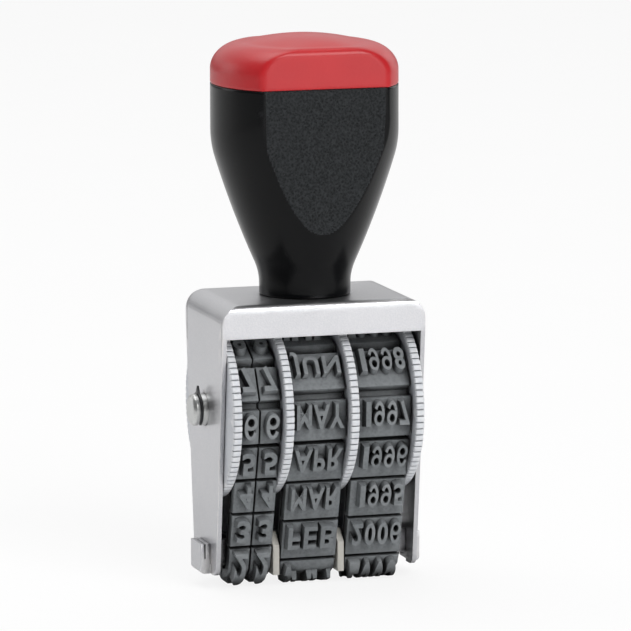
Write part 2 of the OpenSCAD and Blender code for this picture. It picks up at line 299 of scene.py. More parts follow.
# the wheels' recess darkens the gaps between the serrations: painted shade
wheelPlastic = surface("wheelPlastic", dict(
    dark=(0.53, 0.555, 0.60), light=(0.63, 0.655, 0.70), worn=(0.80, 0.81, 0.83), specular=0.45,
    roughness=(0.4, 0.5), grainSize=3000.0, driftSize=260.0, bump=0.15, speck=0.25,
    recess=dict(Reach=0.0006, Deep=0.3, Clear=0.7), hollowShadeColour=(0.38, 0.395, 0.42)))
# the bands' recess turns the counters and the gaps between pads near black: painted shade
bandRubber = surface("bandRubber", dict(
    dark=(0.13, 0.142, 0.15), light=(0.178, 0.192, 0.20), worn=(0.28, 0.295, 0.305), specular=0.35,
    roughness=(0.62, 0.78), grainSize=2600.0, driftSize=330.0, bump=0.5, bumpDepth=0.00006, speck=0.4,
    sheen=0.06, recess=dict(Reach=0.0028, Deep=0.22, Clear=0.66), hollowShadeColour=(0.006, 0.006, 0.006)))
guidePlastic = surface("guidePlastic", dict(
    dark=(0.46, 0.44, 0.40), light=(0.57, 0.55, 0.50), worn=(0.68, 0.67, 0.63),
    roughness=(0.42, 0.52), grainSize=3000.0, driftSize=200.0, bump=0.12, speck=0.15))
clipBlack = surface("clipBlack", dict(
    metallic=1.0, dark=(0.03, 0.03, 0.032), light=(0.06, 0.06, 0.062), worn=(0.2, 0.2, 0.21),
    roughness=(0.35, 0.45), grainSize=4000.0, driftSize=300.0, bump=0.15))
zincPlate = surface("zincPlate", dict(
    metallic=1.0, dark=(0.50, 0.51, 0.53), light=(0.62, 0.63, 0.65), worn=(0.75, 0.75, 0.76),
    roughness=(0.3, 0.42), grainSize=3800.0, driftSize=250.0, bump=0.2))
insertBrass = surface("insertBrass", dict(
    metallic=1.0, dark=(0.62, 0.45, 0.18), light=(0.74, 0.56, 0.26), worn=(0.84, 0.70, 0.42),
    roughness=(0.25, 0.38), grainSize=3800.0, driftSize=250.0, bump=0.2))
print("finishes made")

# bent sheet, pins and clips: the CAD shapes with their edges broken

edgeShape = dict(mergeWithin=0.002, flatWithin=1.0, longestEdge=1.6, cutRounds=6, flatWeight=100)
clipShape = dict(earFoot=1.2, ringRadius=2.22)
guideLook = dict(width=0.08, segments=2, angle=30, material=guidePlastic, slot="guide_pale")
clipLook = dict(width=0.05, segments=2, angle=30, material=clipBlack, slot="clip_steel")
edgePieces = dict(  # the width and steps of each piece's bevels, on edges sharper than its angle in degrees
    frame=dict(name="frameSheet", width=0.11, segments=3, angle=30, material=nickelPlate, slot="nickel"),
    platen=dict(name="platenChannel", width=0.07, segments=2, angle=30, material=nickelPlate, slot="nickel"),
    guide_left=dict(name="guideLeft", **guideLook), guide_right=dict(name="guideRight", **guideLook),
    axle=dict(name="axlePin", width=0.1, segments=3, angle=25, material=brightNickel, slot="nickel"),
    axle_clip_left=dict(name="axleClipLeft", **clipLook),
    axle_clip_right=dict(name="axleClipRight", **clipLook))


def cutLongEdges(mesh):
    # smaller faces on the wide flats keep the wear at the edges and holes where it belongs
    bm = bmesh.new()
    bm.from_mesh(mesh)
    bmesh.ops.triangulate(bm, faces=bm.faces)
    for i in range(edgeShape["cutRounds"]):
        long = [edge for edge in bm.edges if edge.calc_length() > edgeShape["longestEdge"] * mm]
        if not long:
            break
        bmesh.ops.subdivide_edges(bm, edges=long, cuts=1)
        bmesh.ops.triangulate(bm, faces=[face for face in bm.faces if len(face.verts) > 3])
    for face in bm.faces:
        face.smooth = True
    bm.to_mesh(mesh)
    bm.free()


def brokenEdges(node, name, width, segments, angle, material, slot):
    # a copy of a solid's mesh with small bevels along its sharp edges
    bm = bmesh.new()
    bm.from_mesh(frame["nodes"][node].data)
    bmesh.ops.remove_doubles(bm, verts=bm.verts, dist=edgeShape["mergeWithin"] * mm)
    flat = math.radians(edgeShape["flatWithin"])
    bmesh.ops.dissolve_limit(bm, angle_limit=flat, verts=bm.verts, edges=bm.edges)
    for face in bm.faces:
        face.smooth = True
    mesh = bpy.data.meshes.new(name)
    bm.to_mesh(mesh)
    bm.free()
    mesh.materials.clear()
    mesh.materials.append(material)
    piece = addPiece(name, mesh)
    bevel = piece.modifiers.new("brokenEdge", "BEVEL")
    bevel.width = width * mm
    bevel.segments = segments
    bevel.limit_method = "ANGLE"
    bevel.angle_limit = math.radians(angle)
    bevel.use_clamp_overlap = True
    plainMesh(piece)
    cutLongEdges(piece.data)
    flats = piece.modifiers.new("flatFaces", "WEIGHTED_NORMAL")
    flats.weight = edgeShape["flatWeight"]
    plainMesh(piece)
    finishPiece(piece, stampBody, node)
    return piece


def sinkRing(mesh):
    # a clip's ring lies almost flush in its groove, only the ear stands up
    ring = clipShape["ringRadius"]
    for vert in mesh.vertices:
        y, z = vert.co.y / mm, vert.co.z / mm - axleHeight
        reach = math.hypot(y, z)
        if z < clipShape["earFoot"] and reach > ring:
            vert.co.y, vert.co.z = y / reach * ring * mm, (axleHeight + z / reach * ring) * mm


for node, look in edgePieces.items():
    piece = brokenEdges(node, **look)
    if node.startswith("axle_clip"):
        sinkRing(piece.data)
# the screw, its washer and the insert keep the CAD's own shape
hiddenFinishes = dict(handle_screw=zincPlate, screw_washer=zincPlate, handle_insert=insertBrass)
for node, material in hiddenFinishes.items():
    materials = frame["nodes"][node].data.materials
    materials.clear()
    materials.append(material)
print("metal pieces done")

# handle and cap

handleShape = dict(
    foot=38.7, seam=67.0, top=73.5, neckRadius=6.1, flareFoot=41.7, flareTop=62.5, bulge=0.3, roundTop=13.4,
    faceFoot=47.5, faceFootDepth=8.6, faceTop=65.0, faceDepth=9.8, arcRadius=14.8, arcShift=2.4,
    faceBow=1.5, neckBlend=0.7, edgeBlend=0.5, faceBlend=0.2, grainHalf=8.15, grainFoot=46.0, seamGroove=0.16,
    seamGap=0.01, shellInset=3.0, footInset=2.0, footEdge=0.3, footRound=0.08, footHeight=0.25, around=360,
    neckSteps=6, flareSteps=110)
capShape = dict(
    edgeOut=4.4, edgeUp=3.6, faceEdgeOut=1.25, faceEdgeUp=1.15, crown=1.1, cornerBlend=0.7, topLength=8.0,
    topDepth=8.2, ovalPower=4, wallSteps=6, edgeSteps=24, crownSteps=14)


def softMin(a, b, blend):
    # the smaller of two, rounded off where they cross
    h = max(blend - abs(a - b), 0.0) / blend
    return min(a, b) - h * h * blend / 4


def flareRadius(z):
    # the round body, from the straight neck to the widest place
    s = handleShape
    t = min((z - s["flareFoot"]) / (s["flareTop"] - s["flareFoot"]), 1.0)
    flare = s["neckRadius"] + (s["roundTop"] - s["neckRadius"]) * (t + s["bulge"] * t * (1 - t))
    return -softMin(-flare, -s["neckRadius"], s["neckBlend"])


def faceDepth(z):
    # the flat faces' distance from the axis
    s = handleShape
    t = min(max((z - s["faceFoot"]) / (s["faceTop"] - s["faceFoot"]), 0.0), 1.0)
    return s["faceFootDepth"] + (s["faceDepth"] - s["faceFootDepth"]) * (1 - (1 - t) ** s["faceBow"])


def sideRadius(turn):
    # the two wide arcs that make the sides of the head
    s = handleShape
    c, d = abs(math.cos(turn)), abs(math.sin(turn))
    return -s["arcShift"] * c + math.sqrt(s["arcRadius"] ** 2 - (s["arcShift"] * d) ** 2)


def headRadius(z, turn):
    # distance from the axis to the surface, and whether the flat face is what cuts it off
    s = handleShape
    body = softMin(flareRadius(z), sideRadius(turn), s["edgeBlend"])
    face = faceDepth(z) / max(abs(math.sin(turn)), tinySine)
    return softMin(body, face, s["faceBlend"]), face < body


def loft(name, rings, materials, faceIndex):
    # rings of points from the foot up, skinned and capped
    count = len(rings[0])
    verts = [p for ring in rings for p in ring]
    faces = skinFaces(len(rings), count)
    for ringNumber in (0, len(rings) - 1):
        verts.append(tuple(sum(p[k] for p in rings[ringNumber]) / count for k in range(3)))
        base = ringNumber * count
        faces += [(base + i, base + (i + 1) % count, len(verts) - 1) for i in range(count)]
    piece = meshPiece(name, verts, faces, materials)
    for polygon in piece.data.polygons:
        polygon.material_index = faceIndex(polygon.center / mm)
    return piece


def ringAt(z, level=None, inset=0.0):
    # a ring at height z, with the outline that the handle has at the given level
    level = z if level is None else level
    points = []
    for i in range(handleShape["around"]):
        turn = 2 * math.pi * i / handleShape["around"]
        r = headRadius(level, turn)[0] - inset
        points.append((r * math.cos(turn), r * math.sin(turn), z))
    return points


def onFace(centre):
    # 1 on the two grained flat faces, 0 on the glossy rest
    s = handleShape
    flat = headRadius(centre.z, math.atan2(centre.y, centre.x))[1]
    return int(flat and centre.z > s["grainFoot"] and abs(centre.x) < s["grainHalf"])


def makeHandle():
    s = handleShape
    foot, edge, flare, groove = s["foot"], s["footRound"], s["flareFoot"], s["seamGroove"]
    height, seamTop, steps = s["footHeight"], s["seam"] - s["seamGap"], s["neckSteps"]
    levels = [foot + height + (flare - foot - height) * i / steps for i in range(steps)]
    steps = s["flareSteps"]
    levels += [flare + (s["seam"] - groove - flare) * i / steps for i in range(steps + 1)]
    rings = [ringAt(foot, inset=s["footInset"]), ringAt(foot, inset=s["footEdge"])]
    rings += [ringAt(foot + edge, inset=edge)]
    rings += [ringAt(z) for z in levels]
    rings += [ringAt(s["seam"] - groove * 0.3, inset=groove * 0.35), ringAt(seamTop, inset=groove)]
    rings += [ringAt(seamTop, inset=s["shellInset"])]
    piece = loft("handleShell", rings, [handleGloss, handleGrain], onFace)
    finishPiece(piece, stampBody, "handle_body")


def capRing(z, rise, shrink=1.0):
    # the cap is a pillow with two flat faces, each with its own smaller rounding at the top;
    # rise runs from 0 at the shoulder to 1 at the crown
    s, c = handleShape, capShape
    bodyIn = c["edgeOut"] * (1 - math.sqrt(1 - rise ** 2))
    drop = (1 - rise) * c["edgeUp"]
    faceRise = min(max(1 - drop / c["faceEdgeUp"], 0.0), 1.0)
    faceIn = c["faceEdgeOut"] * (1 - math.sqrt(1 - faceRise ** 2))
    points = []
    for i in range(s["around"]):
        turn = 2 * math.pi * i / s["around"]
        body = sideRadius(turn) - bodyIn
        face = (s["faceDepth"] - faceIn) / max(abs(math.sin(turn)), tinySine)
        r = softMin(body, face, c["cornerBlend"])
        # towards the middle of the top the outline eases into an oval, so that no crease runs to the centre
        oval = 1 / math.hypot(math.cos(turn) / c["topLength"], math.sin(turn) / c["topDepth"])
        r = (oval + (r - oval) * shrink ** c["ovalPower"]) * shrink
        points.append((r * math.cos(turn), r * math.sin(turn), z))
    return points


def makeCap():
    s, c = handleShape, capShape
    groove, seam, shoulder = s["seamGroove"], s["seam"], s["top"] - c["crown"] - c["edgeUp"]
    foot, steps = seam + s["seamGap"], c["wallSteps"]
    rings = [ringAt(foot, seam, s["shellInset"]), ringAt(foot, seam, groove)]
    rings += [ringAt(seam + groove * 0.3, seam, groove * 0.35)]
    rings += [capRing(seam + groove + (shoulder - seam - groove) * i / steps, 0.0) for i in range(steps + 1)]
    for i in range(1, c["edgeSteps"] + 1):
        rise = math.sin(math.radians(90 * i / c["edgeSteps"]))
        rings.append(capRing(shoulder + c["edgeUp"] * rise, rise))
    for i in range(1, c["crownSteps"] + 1):
        shrink = 1 - i / (c["crownSteps"] + 0.5)  # the last ring stays open, a fan closes it
        rings.append(capRing(shoulder + c["edgeUp"] + c["crown"] * (1 - shrink * shrink), 1.0, shrink))
    piece = loft("capShell", rings, [capRed], lambda centre: 0)
    finishPiece(piece, stampBody, "handle_cap")


makeHandle()
makeCap()
print("handle done")

# thumbwheels: a lathe-turned disc with a ribbed hub, and serrations set round the rim by a node tree

wheelShape = dict(
    rimRadius=11.45, toothTop=11.8, serrations=84, discThickness=1.15, chamfer=0.16,
    bore=2.22, hubRadius=7.1, ribTop=7.35, ribs=13, ribHalf=0.62, ribFlank=0.22, toothWidth=0.7,
    toothRoot=0.12, toothChamfer=0.12, toothFoot=1.1, toothShoulder=0.75, toothTip=0.62, toothEnd=0.55,
    recessRadius=10.2, recessDepth=0.22, lip=0.1, backRing=0.5, around=168,
    crisp=32)  # edges sharper than this many degrees stay crisp


def ease(t):
    # a smooth step from 0 to 1
    t = min(max(t, 0.0), 1.0)
    return t * t * (3 - 2 * t)


def serrationTree():
    # copies of one tooth, set round a circle and joined to the disc
    tree = bpy.data.node_groups.new("serratedRim", "GeometryNodeTree")
    addSocket(tree, "Geometry", "NodeSocketGeometry", "INPUT")
    addSocket(tree, "Tooth", "NodeSocketObject", "INPUT")
    addSocket(tree, "Serrations", "NodeSocketInt", "INPUT", 84)
    addSocket(tree, "Rim Radius", "NodeSocketFloat", "INPUT", 0.0116)
    addSocket(tree, "Plastic", "NodeSocketMaterial", "INPUT")
    addSocket(tree, "Geometry", "NodeSocketGeometry", "OUTPUT")
    given = addNode(tree, "NodeGroupInput")
    ring = addNode(tree, "GeometryNodeMeshCircle", {
        "Vertices": given.outputs["Serrations"], "Radius": given.outputs["Rim Radius"]})
    tooth = addNode(tree, "GeometryNodeObjectInfo", {"Object": given.outputs["Tooth"]})
    index = addNode(tree, "GeometryNodeInputIndex")
    share = addNode(tree, "ShaderNodeMath", {
        0: index.outputs[0], 1: given.outputs["Serrations"]}, operation="DIVIDE")
    turn = addNode(tree, "ShaderNodeMath", {0: share.outputs[0], 1: 2 * math.pi}, operation="MULTIPLY")
    spin = addNode(tree, "ShaderNodeCombineXYZ", {"Z": turn.outputs[0]})
    teeth = addNode(tree, "GeometryNodeInstanceOnPoints", {
        "Points": ring.outputs["Mesh"], "Instance": tooth.outputs["Geometry"], "Rotation": spin.outputs[0]})
    joined = addNode(tree, "GeometryNodeJoinGeometry")
    tree.links.new(given.outputs["Geometry"], joined.inputs[0])
    tree.links.new(teeth.outputs[0], joined.inputs[0])
    whole = addNode(tree, "GeometryNodeRealizeInstances", {"Geometry": joined.outputs[0]})
    coated = addNode(tree, "GeometryNodeSetMaterial", {
        "Geometry": whole.outputs[0], "Material": given.outputs["Plastic"]})
    result = addNode(tree, "NodeGroupOutput")
    tree.links.new(coated.outputs[0], result.inputs["Geometry"])
    return tree


def setInputs(modifier, tree, values):
    # a modifier's inputs are set by their sockets' identifiers
    for item in tree.interface.items_tree:
        if item.item_type == "SOCKET" and item.in_out == "INPUT" and item.name in values:
            modifier[item.identifier] = values[item.name]


def toothMesh():
    # one rounded serration, pointing along +X from the rim, as thick as the disc
    s = wheelShape
    half, w, edge = s["discThickness"] / 2, s["toothWidth"] / 2, s["toothChamfer"]
    top, root = s["toothTop"] - s["rimRadius"], -s["toothRoot"]
    rise = [(root, w * s["toothFoot"]), (top * s["toothShoulder"], w), (top, w * s["toothTip"])]
    outline = [(x, -y) for x, y in rise] + rise[::-1]
    rings, end = [], s["toothEnd"]
    for z, scale in ((-half, end), (-half + edge, 1.0), (half - edge, 1.0), (half, end)):
        rings.append([(x if x < 0 else x * scale, y, z) for x, y in outline])
    verts = [p for ring in rings for p in ring]
    return meshPiece("tooth", verts, tubeFaces(len(rings), len(outline)), [wheelPlastic])


def wheelBody(name, hubLength):
    # profile turned about Z, disc centred on z = 0 and the hub standing out on one side
    s = wheelShape
    half, c = s["discThickness"] / 2, s["chamfer"]
    inner, lip, back = s["recessRadius"], s["lip"], s["backRing"]
    rim, recess = s["rimRadius"], half - s["recessDepth"]
    profile = [(s["bore"], -half), (inner - back, -half), (inner, -half), (rim - c, -half), (rim, -half + c)]
    profile += [(rim, half - c), (rim - c, half), (inner + lip, half), (inner - lip, recess)]
    profile += [(s["hubRadius"], recess)]
    around = s["around"]
    verts, faces = [], []
    for i in range(around):
        a = 2 * math.pi * i / around
        verts += [(r * math.cos(a), r * math.sin(a), z) for r, z in profile]
    n = len(profile)
    for i in range(around):
        j = (i + 1) % around
        faces += [(i * n + k, j * n + k, j * n + k + 1, i * n + k + 1) for k in range(n - 1)]
    # the hub: a ribbed tube from the disc's last profile point, and back down the bore
    rib, step = s["ribTop"] - s["hubRadius"], 2 * math.pi / s["ribs"]
    base = len(verts)
    for i in range(around):
        a = 2 * math.pi * i / around
        off = abs((a / step + 0.5) % 1 - 0.5) * step * s["hubRadius"]
        r = s["hubRadius"] + rib * ease((s["ribHalf"] - off) / s["ribFlank"])
        for radius, z in ((r, recess), (r, hubLength + half), (s["bore"], hubLength + half)):
            verts.append((radius * math.cos(a), radius * math.sin(a), z))
    for i in range(around):
        j = (i + 1) % around
        a, b = base + i * 3, base + j * 3
        faces += [(i * n + n - 1, j * n + n - 1, b, a), (a, b, b + 1, a + 1), (a + 1, b + 1, b + 2, a + 2)]
        faces.append((a + 2, b + 2, j * n, i * n))
    return meshPiece(name, verts, faces, [wheelPlastic])


rimTree = serrationTree()
tooth = toothMesh()


def makeWheel(node, name, discX, hubTo):
    # a disc that starts at discX, with its hub reaching to hubTo
    s = wheelShape
    centre = discX + s["discThickness"] / 2
    side = 1 if hubTo > centre else -1
    hubLength = abs(hubTo - centre) - s["discThickness"] / 2
    piece = wheelBody(name, hubLength)
    rim = piece.modifiers.new("serratedRim", "NODES")
    rim.node_group = rimTree
    setInputs(rim, rimTree, {"Tooth": tooth, "Serrations": s["serrations"],
                             "Rim Radius": s["rimRadius"] * mm, "Plastic": wheelPlastic})
    plainMesh(piece)
    # lay the turning axis along X, hub towards its band
    turn = Matrix.Rotation(side * math.pi / 2, 4, "Y")
    piece.data.transform(Matrix.Translation((centre * mm, 0, axleHeight * mm)) @ turn)
    sharpenEdges(piece, s["crisp"])
    finishPiece(piece, node, node)


wheelNames = dict(
    day_tens_wheel="dayTensWheel", day_units_wheel="dayUnitsWheel",
    month_wheel="monthWheel", year_wheel="yearWheel")
for node, name in wheelNames.items():
    left, right = (corner.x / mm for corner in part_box(node))
    if node == "day_tens_wheel":  # the only wheel with its disc on the left
        makeWheel(node, name, left, right)
    else:
        makeWheel(node, name, right - wheelShape["discThickness"], left)
bpy.data.objects.remove(tooth)
print("thumbwheels done")

# rubber bands: a node tree lays out a flat strip of pads and type, which is wrapped round hub and platen

loopShape = dict(
    topRadius=7.6, cornerY=1.9, cornerRadius=0.6, backing=0.9, padRise=2.0, typeRise=3.1,
    backingCuts=200, backingEdge=0.12, padSink=0.6, padEdge=0.13, padCuts=8, typeSink=0.3, typeCuts=9,
    crisp=38)  # edges sharper than this many degrees stay crisp


def loopFacts():
    # the loop's lean, straight run and length, all on the backing's middle layer
    s = loopShape
    s["cornerZ"] = s["typeRise"] + s["cornerRadius"]
    drop = axleHeight - s["cornerZ"]
    reach = math.hypot(drop, s["cornerY"])
    s["lean"] = math.atan2(drop, s["cornerY"]) - math.acos((s["topRadius"] - s["cornerRadius"]) / reach)
    s["run"] = math.sqrt(reach ** 2 - (s["topRadius"] - s["cornerRadius"]) ** 2)
    s["neutral"] = s["backing"] / 2
    s["cornerArc"] = (s["cornerRadius"] + s["neutral"]) * (math.pi / 2 - s["lean"])
    s["topArc"] = (s["topRadius"] + s["neutral"]) * (math.pi + 2 * s["lean"])
    s["length"] = 2 * (s["cornerY"] + s["cornerArc"] + s["run"]) + s["topArc"]


loopFacts()


def halfPoint(along, out):
    # a point on the rear half of the loop, measured from the foot
    s = loopShape
    past = along - s["cornerY"] - s["cornerArc"]
    if along < s["cornerY"]:
        return along, s["cornerZ"] - s["cornerRadius"] - out
    if past < 0:
        a = -math.pi / 2 + (along - s["cornerY"]) / (s["cornerRadius"] + s["neutral"])
        r = s["cornerRadius"] + out
        return s["cornerY"] + r * math.cos(a), s["cornerZ"] + r * math.sin(a)
    if past < s["run"]:
        r, c, d = s["cornerRadius"] + out, math.cos(s["lean"]), math.sin(s["lean"])
        return s["cornerY"] + r * c + past * d, s["cornerZ"] - r * d + past * c
    a = -s["lean"] + (past - s["run"]) / (s["topRadius"] + s["neutral"])
    r = s["topRadius"] + out
    return r * math.cos(a), axleHeight + r * math.sin(a)


def loopPoint(along, out):
    # up the front first, then over the hub and down the rear
    u = along % loopShape["length"]
    if u > loopShape["length"] / 2:
        return halfPoint(loopShape["length"] - u, out)
    y, z = halfPoint(u, out)
    return -y, z


def stripTree():
    # pads and type in a row along Y, every piece upright on the strip's inside face
    tree = bpy.data.node_groups.new("typeStrip", "GeometryNodeTree")
    addSocket(tree, "Geometry", "NodeSocketGeometry", "INPUT")
    addSocket(tree, "Pad", "NodeSocketObject", "INPUT")
    addSocket(tree, "Type", "NodeSocketCollection", "INPUT")
    addSocket(tree, "Places", "NodeSocketInt", "INPUT", 13)
    addSocket(tree, "Pitch", "NodeSocketFloat", "INPUT", 0.0056)
    addSocket(tree, "Type Rise", "NodeSocketFloat", "INPUT", 0.0017)
    addSocket(tree, "Type Shift", "NodeSocketFloat", "INPUT", 0.0)
    addSocket(tree, "Rubber", "NodeSocketMaterial", "INPUT")
    addSocket(tree, "Geometry", "NodeSocketGeometry", "OUTPUT")
    given = addNode(tree, "NodeGroupInput")
    pitch = addNode(tree, "ShaderNodeCombineXYZ", {"Y": given.outputs["Pitch"]})
    row = addNode(tree, "GeometryNodeMeshLine", {
        "Count": given.outputs["Places"], "Offset": pitch.outputs[0]})
    pad = addNode(tree, "GeometryNodeObjectInfo", {"Object": given.outputs["Pad"]})
    pads = addNode(tree, "GeometryNodeInstanceOnPoints", {
        "Points": row.outputs[0], "Instance": pad.outputs["Geometry"]})
    lift = addNode(tree, "ShaderNodeCombineXYZ", {
        "Y": given.outputs["Type Shift"], "Z": given.outputs["Type Rise"]})
    raisedRow = addNode(tree, "GeometryNodeSetPosition", {
        "Geometry": row.outputs[0], "Offset": lift.outputs[0]})
    letters = addNode(tree, "GeometryNodeCollectionInfo", {
        "Collection": given.outputs["Type"], "Separate Children": True, "Reset Children": True})
    number = addNode(tree, "GeometryNodeInputIndex")
    words = addNode(tree, "GeometryNodeInstanceOnPoints", {
        "Points": raisedRow.outputs[0], "Instance": letters.outputs[0], "Pick Instance": True,
        "Instance Index": number.outputs[0]})
    raised = addNode(tree, "GeometryNodeJoinGeometry")
    for part in (pads.outputs[0], words.outputs[0]):
        tree.links.new(part, raised.inputs[0])
    blocks = addNode(tree, "GeometryNodeRealizeInstances", {"Geometry": raised.outputs[0]})
    # the blocks are marked, so that the wrapping can tell them from the backing
    marked = addNode(tree, "GeometryNodeStoreNamedAttribute", {
        "Geometry": blocks.outputs[0], "Name": "stiff", "Value": 1.0}, data_type="FLOAT", domain="POINT")
    joined = addNode(tree, "GeometryNodeJoinGeometry")
    for part in (given.outputs["Geometry"], marked.outputs[0]):
        tree.links.new(part, joined.inputs[0])
    whole = addNode(tree, "GeometryNodeRealizeInstances", {"Geometry": joined.outputs[0]})
    coated = addNode(tree, "GeometryNodeSetMaterial", {
        "Geometry": whole.outputs[0], "Material": given.outputs["Rubber"]})
    result = addNode(tree, "NodeGroupOutput")
    tree.links.new(coated.outputs[0], result.inputs["Geometry"])
    return tree


def softBlock(name, width, length, low, high, edge, cuts):
    # a block with rounded upper edges and cross cuts that let it bend
    roundDown, roundIn = 0.3, 0.35  # the rounding's middle point, as shares of the edge
    end, side, near = length / 2, width / 2, edge * roundDown
    rows = [-end, -end + edge * roundIn, -end + edge]
    rows += [-end + edge + (length - 2 * edge) * i / cuts for i in range(1, cuts)]
    rows += [end - edge, end - edge * roundIn, end]
    drops = [edge, near] + [0.0] * (len(rows) - 4) + [near, edge]
    verts = []
    for y, drop in zip(rows, drops):
        top = high - drop
        shoulder = high - edge - drop * roundDown
        flank = [(side, low), (side, shoulder), (side - near, top - near), (side - edge, top)]
        verts += [(-x, y, z) for x, z in flank] + [(x, y, z) for x, z in flank[::-1]]
    return meshPiece(name, verts, tubeFaces(len(rows), 8), [bandRubber])


def hookedSix(flip):
    # outlines of a six with a round bowl and a hooked top, from arcs in degrees;
    # turned half round it is a nine
    half, tall, stroke, bowl = 0.31, 0.5, 0.15, 0.305
    low, tip = bowl - tall, 28

    def arc(cy, rx, ry, start, end, steps):
        turns = [math.radians(start + (end - start) * i / steps) for i in range(steps + 1)]
        return [(rx * math.cos(t), cy + ry * math.sin(t)) for t in turns]

    back = arc(0, half, tall, tip, 270, 30)
    hook = arc(0, half - stroke, tall - stroke, 165, tip, 18)
    outer = back + arc(low, half, bowl, 275, 455, 22) + hook
    hole = arc(low, half - stroke, bowl - stroke * 0.9, 0, 345, 22)
    sign = -1 if flip else 1
    return [[(sign * x, sign * y) for x, y in line] for line in (outer, hole)]


sameGlyphPoint = 1e-5  # in the lettering's own units
oneWidth = 0.5  # a one's width as a share of the other digits'
glyphHalf = 0.5  # half a flat character's thickness before its top and foot get their heights


def glyphCurve(name, text, spec):
    # a flat character or word with a sloping edge, thick enough to tell its top from its foot
    if text in ("6", "9"):
        curve = bpy.data.curves.new(name, "CURVE")
        curve.dimensions, curve.fill_mode = "2D", "BOTH"
        for outline in hookedSix(text == "9"):
            spline = curve.splines.new("POLY")
            spline.points.add(len(outline) - 1)
            for point, (x, y) in zip(spline.points, outline):
                point.co = (x, y, 0.0, 1.0)
            spline.use_cyclic_u = True
    else:
        curve = bpy.data.curves.new(name, "FONT")
        curve.body = text
        curve.align_x = "CENTER"
        curve.align_y = "CENTER"
        curve.space_character = spec["spacing"]
        curve.resolution_u = 5
        curve.offset = spec["weight"]
    curve.extrude = glyphHalf
    curve.bevel_depth = spec["flank"]
    curve.bevel_resolution = 0
    return curve


def typeMesh(name, word, spec):
    # raised type with sloping flanks, mirrored across so that it prints the right way round
    s = loopShape
    graph = bpy.context.evaluated_depsgraph_get
    parts = list(word) if word.isdigit() else [word]
    step = spec["glyphWidth"] + spec["glyphGap"]
    rise = s["typeRise"] - s["padRise"]
    whole = bmesh.new()
    for number, part in enumerate(parts):
        source = addPiece(name, glyphCurve(name, part, spec))
        mesh = bpy.data.meshes.new_from_object(source.evaluated_get(graph()), depsgraph=graph())
        bpy.data.objects.remove(source)
        bm = bmesh.new()
        bm.from_mesh(mesh)
        bmesh.ops.remove_doubles(bm, verts=bm.verts, dist=sameGlyphPoint)
        topLevel = glyphHalf + spec["flank"] / 2
        tops = [v.co for v in bm.verts if v.co.z > topLevel]
        across, tall = (max(c[k] for c in tops) - min(c[k] for c in tops) for k in (0, 1))
        midX, midY = ((max(c[k] for c in tops) + min(c[k] for c in tops)) / 2 for k in (0, 1))
        wide = spec["glyphWidth"] if part.isdigit() else spec["wordWidth"]
        wide *= oneWidth if part == "1" else 1.0
        for vert in bm.verts:
            x = (vert.co.x - midX) / across * wide + (number - (len(parts) - 1) / 2) * step
            x += spec["oneShift"] if part == "1" else 0.0
            y = -(vert.co.y - midY) / tall * spec["typeHeight"]
            z = rise if vert.co.z > topLevel else 0.0 if vert.co.z > 0 else -s["typeSink"]
            vert.co = Vector((x, y, z)) * mm
        bmesh.ops.recalc_face_normals(bm, faces=bm.faces)
        # extra cuts across the strip let long letters bend round the corners
        reach = s["typeCuts"] // 2
        for cut in range(-reach, reach + 1):
            geometry = bm.verts[:] + bm.edges[:] + bm.faces[:]
            place = (0, cut * spec["typeHeight"] / s["typeCuts"] * mm, 0)
            bmesh.ops.bisect_plane(bm, geom=geometry, plane_co=place, plane_no=(0, 1, 0))
        bm.to_mesh(mesh)
        bm.free()
        whole.from_mesh(mesh)
        bpy.data.meshes.remove(mesh)
    joined = bpy.data.meshes.new(name)
    whole.to_mesh(joined)
    whole.free()
    joined.materials.append(bandRubber)
    return bpy.data.objects.new(name, joined)


beltTree = stripTree()


def padPoint(along, out, pitch, shift, spec):
    # a pad on the hub or a straight run keeps its own flat shape, so the gaps open round the hub;
    # one at the platen's corners bends with the strip
    s = loopShape
    y, z = loopPoint(along + shift, out)
    middle = round(along / pitch) * pitch
    fromFoot = abs((middle + shift + s["length"] / 2) % s["length"] - s["length"] / 2)
    if fromFoot < s["cornerY"] + s["cornerArc"] + spec["padLength"] / 2:
        return y, z
    base, above = (Vector(loopPoint(middle + shift, o)) for o in (s["neutral"], s["neutral"] + 1))
    rise = above - base
    ahead = Vector(loopPoint(middle + shift + 0.05, s["neutral"])) - base  # a small step along the loop
    onward = Vector((rise.y, -rise.x))
    onward *= 1 if onward.dot(ahead) > 0 else -1
    stiff = base + rise * (out - s["neutral"]) + onward * (along - middle)
    mix = spec["stiffness"]
    return y + (stiff.x - y) * mix, z + (stiff.y - z) * mix


